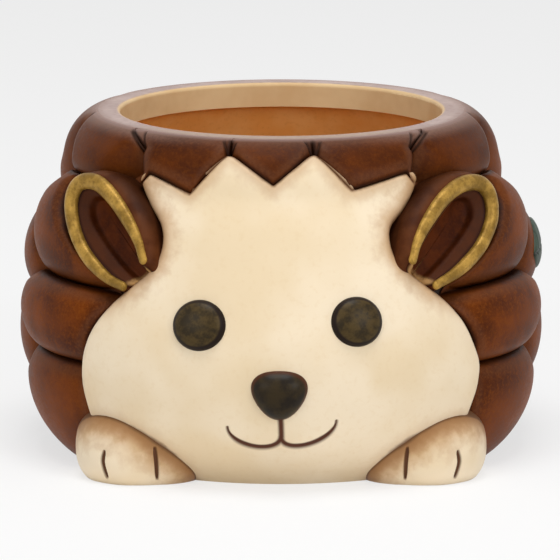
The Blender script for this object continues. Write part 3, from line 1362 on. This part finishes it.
def ear_glaze():
    """Red-brown patina in the ears: dark in the bowl, purplish on its steep wall, and rubbed
    and greyer on the outside."""
    glaze = Finish("dark red-brown patina in the ears", "3e1603",
                   {"cloud": (9.0, 4.0, 0.55), "grain": (1.3, 4.0, 0.65)}, ("share", "beyond", "open"))
    glaze.coat("562405", ("cloud", 0.36, 0.64))
    glaze.coat("5f2f10", ("grain", 0.42, 0.68), 0.35)
    # The bowl's steep wall, and the dark foot of its step.
    glaze.coat("4c2d1e", ("share", 0.52, 0.44), ("share", 0.1, 0.2), 0.60)
    glaze.coat("220c03", ("share", 0.62, 0.56), ("share", 0.46, 0.51), 0.4)
    # The outside, darker away from the rim.
    outside = glaze.mottled(colour("45200a"), colour("5a3016"), ("cloud", 0.36, 0.64))
    glaze.coat(outside, ("share", -0.05, -0.35))
    glaze.coat("2a1206", ("beyond", 3.2, 6.5), 0.75)
    # Dark paint beside the gilded rim, and cream showing at the open end.
    glaze.coat("260e05", ("share", 0.27, 0.19), ("share", -0.02, 0.0), 0.7)
    glaze.values["faded"] = glaze.share("open", ("grain", 0.25, 0.65, 0.75, 1.1))
    glaze.coat("b48a58", ("faded", 0.15, 0.85), ("share", 0.05, 0.3))
    return glaze.fired("grain", 0.42, 0.55, PATINA_SPECULAR, 0.10, 0.5)


def gold_paint():
    """Brushed-on gold paint: part metal, worn to brown in places."""
    paint = Finish("antique gold paint", "80601f", {"cloud": (6.0, 4.0, 0.6), "grain": (0.9, 3.0, 0.6)})
    paint.coat("b78f40", ("cloud", 0.34, 0.66))
    paint.coat("5c4119", ("grain", 0.50, 0.75), 0.50)
    paint.tree.nodes["Principled BSDF"].inputs["Metallic"].default_value = GOLD_METALLIC
    return paint.fired("grain", 0.36, 0.52, SATIN_SPECULAR, 0.08, 0.5)


def leaf_glaze():
    """Dark green satin paint with darker veins."""
    paint = Finish("dark green satin paint", "1f2c1d", {"cloud": (6.0, 4.0, 0.55)}, ("vein",))
    paint.coat("37473a", ("cloud", 0.35, 0.65))
    paint.coat("121a10", ("vein", 0.2, 0.9))
    return paint.fired("cloud", 0.40, 0.52, SATIN_SPECULAR, 0.08, 0.4)


def rim_glaze():
    """Collar: cream slip on its inside, and a pale greyish-lilac wash on the flat lip, browner
    in front and along its outer edge."""
    glaze = Finish("lilac-washed lip and cream collar", "b9a29a",
                   {"cloud": (18.0, 3.0, 0.55), "grain": (2.0, 3.0, 0.55)})
    squares = add_node(glaze.tree, "ShaderNodeMath", {0: glaze.share("x", "x"), 1: glaze.share("y", "y")},
                       operation="ADD").outputs[0]
    glaze.values["reach"] = add_node(glaze.tree, "ShaderNodeMath", {0: squares, 1: 0.5},
                                     operation="POWER").outputs[0]
    glaze.coat("a9918a", ("cloud", 0.35, 0.65))
    glaze.coat("947a6f", ("grain", 0.5, 0.75), 0.3)
    glaze.coat("a5886e", ("y", -0.035, -0.062), 0.7)
    glaze.coat("94786d", ("reach", (LIP_RADIUS - 3.5) * MM, (LIP_RADIUS + 0.5) * MM), 0.75)
    slip = glaze.mottled(colour("e6c797"), colour("dcb988"), ("cloud", 0.35, 0.65))
    glaze.coat(slip, ("reach", (MOUTH_RADIUS + 1.6) * MM, (MOUTH_RADIUS + 0.5) * MM))
    return glaze.fired("grain", 0.44, 0.54, SATIN_SPECULAR, 0.05, 0.4)


def inside_clay():
    """Ochre slip on the inside wall, a little darker towards the floor. The wall's outside,
    seen only in the deepest creases, keeps the dark patina: there its normal points away from
    the axis."""
    slip = Finish("ochre slip inside the pot", "f0b260",
                  {"cloud": (22.0, 3.0, 0.55), "grain": (1.6, 3.0, 0.55)})
    slip.coat("f6c277", ("cloud", 0.35, 0.65))
    slip.coat("cd8c46", ("grain", 0.5, 0.75), 0.22)
    slip.coat("a26a33", ("z", 0.06, 0.0), 0.35)
    normal = add_node(slip.tree, "ShaderNodeNewGeometry").outputs["Normal"]
    slip.values["outward"] = add_node(slip.tree, "ShaderNodeVectorMath", {0: normal, 1: slip.place},
                                      operation="DOT_PRODUCT").outputs["Value"]
    slip.coat("241006", ("outward", 0.0, 0.01))
    return slip.fired("grain", 0.50, 0.62, SATIN_SPECULAR, 0.08, 0.4)


def floor_clay():
    """The same ochre slip on the floor slab, darker in the pot's depth."""
    slip = Finish("ochre slip on the pot's floor", "b87a3c",
                  {"cloud": (22.0, 3.0, 0.55), "grain": (1.6, 3.0, 0.55)})
    slip.coat("c78a4a", ("cloud", 0.35, 0.65))
    slip.coat("94602b", ("grain", 0.5, 0.75), 0.25)
    return slip.fired("grain", 0.50, 0.62, SATIN_SPECULAR, 0.08, 0.4)


# ---------------------------------------------------------------- build
quill_shapes = build_quills(quill_glaze())
build_face(cream_glaze())
paw_material = paw_glaze()
build_paw("paw_left", -1, paw_material)
build_paw("paw_right", 1, paw_material)
build_eyes(eye_glaze())
build_nose(nose_glaze())
ear_material = ear_glaze()
gold_material = gold_paint()
for side_name, side in (("left", -1), ("right", 1)):
    build_ear_cup(side_name, side, ear_material)
    build_ear_roll(side_name, side, gold_material)
build_leaf(quill_shapes["right_2_high"], leaf_glaze())

solid_finishes = (("rim_collar", rim_glaze()), ("barrel_wall", inside_clay()), ("base_slab", floor_clay()))
for node, material in solid_finishes:
    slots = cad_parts[node].data.materials
    slots.clear()
    slots.append(material)


# ---------------------------------------------------------------- floor, light and camera
FLOOR_SIZE = 6.0
FLOOR_SHARE_LIT = 0.35
PAPER_WHITE = (0.92, 0.92, 0.92, 1.0)
WORLD_STRENGTH = 0.38
LAMP_TARGET = (0.0, 0.0, 0.06)


def build_floor():
    """Wide white floor. Part of what the camera sees of it is plain white, and the rest is lit,
    so that the object keeps its shadow."""
    half = FLOOR_SIZE / 2
    corners = [(-half, -half, 0), (half, -half, 0), (half, half, 0), (-half, half, 0)]
    mesh = bpy.data.meshes.new("floor")
    mesh.from_pydata(corners, [], [(0, 1, 2, 3)])
    floor = bpy.data.objects.new("floor", mesh)
    bpy.context.scene.collection.objects.link(floor)
    material = bpy.data.materials.new("white paper floor")
    material.use_nodes = True
    tree = material.node_tree
    tree.nodes.clear()
    paper = add_node(tree, "ShaderNodeBsdfDiffuse", {"Color": PAPER_WHITE})
    white = add_node(tree, "ShaderNodeEmission", {"Strength": 1.0})
    share = add_node(tree, "ShaderNodeMath", {0: seen_as_background(tree), 1: 1 - FLOOR_SHARE_LIT},
                     operation="MULTIPLY")
    blend = add_node(tree, "ShaderNodeMixShader", {0: share.outputs[0], 1: paper.outputs[0],
                                                   2: white.outputs[0]})
    add_node(tree, "ShaderNodeOutputMaterial", {"Surface": blend.outputs[0]})
    mesh.materials.append(material)


def seen_as_background(tree):
    """Socket that is 1 for what the camera, a mirrored ray or a ray through glass sees."""
    seen = add_node(tree, "ShaderNodeLightPath").outputs
    any_seen = seen["Is Camera Ray"]
    for kind in ("Is Glossy Ray", "Is Transmission Ray"):
        any_seen = add_node(tree, "ShaderNodeMath", {0: any_seen, 1: seen[kind]},
                            operation="MAXIMUM").outputs[0]
    return any_seen


def build_world(strength):
    """White surroundings that light the object softly. The camera and mirrored rays see them
    plain white."""
    world = bpy.data.worlds.new("studio")
    bpy.context.scene.world = world
    world.use_nodes = True
    tree = world.node_tree
    background = tree.nodes["Background"]
    background.inputs["Color"].default_value = (1, 1, 1, 1)
    shown = add_node(tree, "ShaderNodeMapRange", {"Value": seen_as_background(tree), "To Min": strength,
                                                  "To Max": 1.0})
    join(tree, shown.outputs["Result"], background.inputs["Strength"])


def add_lamp(name, place, size, power):
    """Square soft lamp that points at the middle of the pot. Metres and watts."""
    data = bpy.data.lights.new(name, "AREA")
    data.shape = "SQUARE"
    data.size = size
    data.energy = power
    lamp = bpy.data.objects.new(name, data)
    lamp.location = place
    lamp.rotation_euler = (Vector(LAMP_TARGET) - Vector(place)).to_track_quat("-Z", "Y").to_euler()
    bpy.context.scene.collection.objects.link(lamp)


# The camera's places in metres, its rise in degrees, its sensor in millimetres.
CAMERA_TARGET = (-0.0004, 0.0, 0.061)
CAMERA_DISTANCE = 2.0
CAMERA_RISE = 11.3
CAMERA_SEES_TO = 20.0
SENSOR = 36.0
FOCAL_PIXELS = 5194.8
FRAME_PIXELS = 560


def build_camera():
    """Long lens straight in front of the face, a little above it."""
    rise = math.radians(CAMERA_RISE)
    back = Vector((0, -math.cos(rise), math.sin(rise)))
    data = bpy.data.cameras.new("camera")
    data.sensor_width = SENSOR
    data.lens = FOCAL_PIXELS * SENSOR / FRAME_PIXELS
    data.clip_end = CAMERA_SEES_TO
    camera = bpy.data.objects.new("camera", data)
    camera.location = Vector(CAMERA_TARGET) + back * CAMERA_DISTANCE
    camera.rotation_euler = (-back).to_track_quat("-Z", "Y").to_euler()
    bpy.context.scene.collection.objects.link(camera)
    bpy.context.scene.camera = camera


build_floor()
build_world(WORLD_STRENGTH)
add_lamp("key", (1.15, -1.45, 0.95), 0.8, 9.4)
add_lamp("fill", (-1.1, -1.4, 0.85), 0.9, 5.2)
add_lamp("top", (0.0, -0.3, 1.6), 0.8, 12.0)
build_camera()
bpy.context.scene.view_settings.view_transform = "Standard"
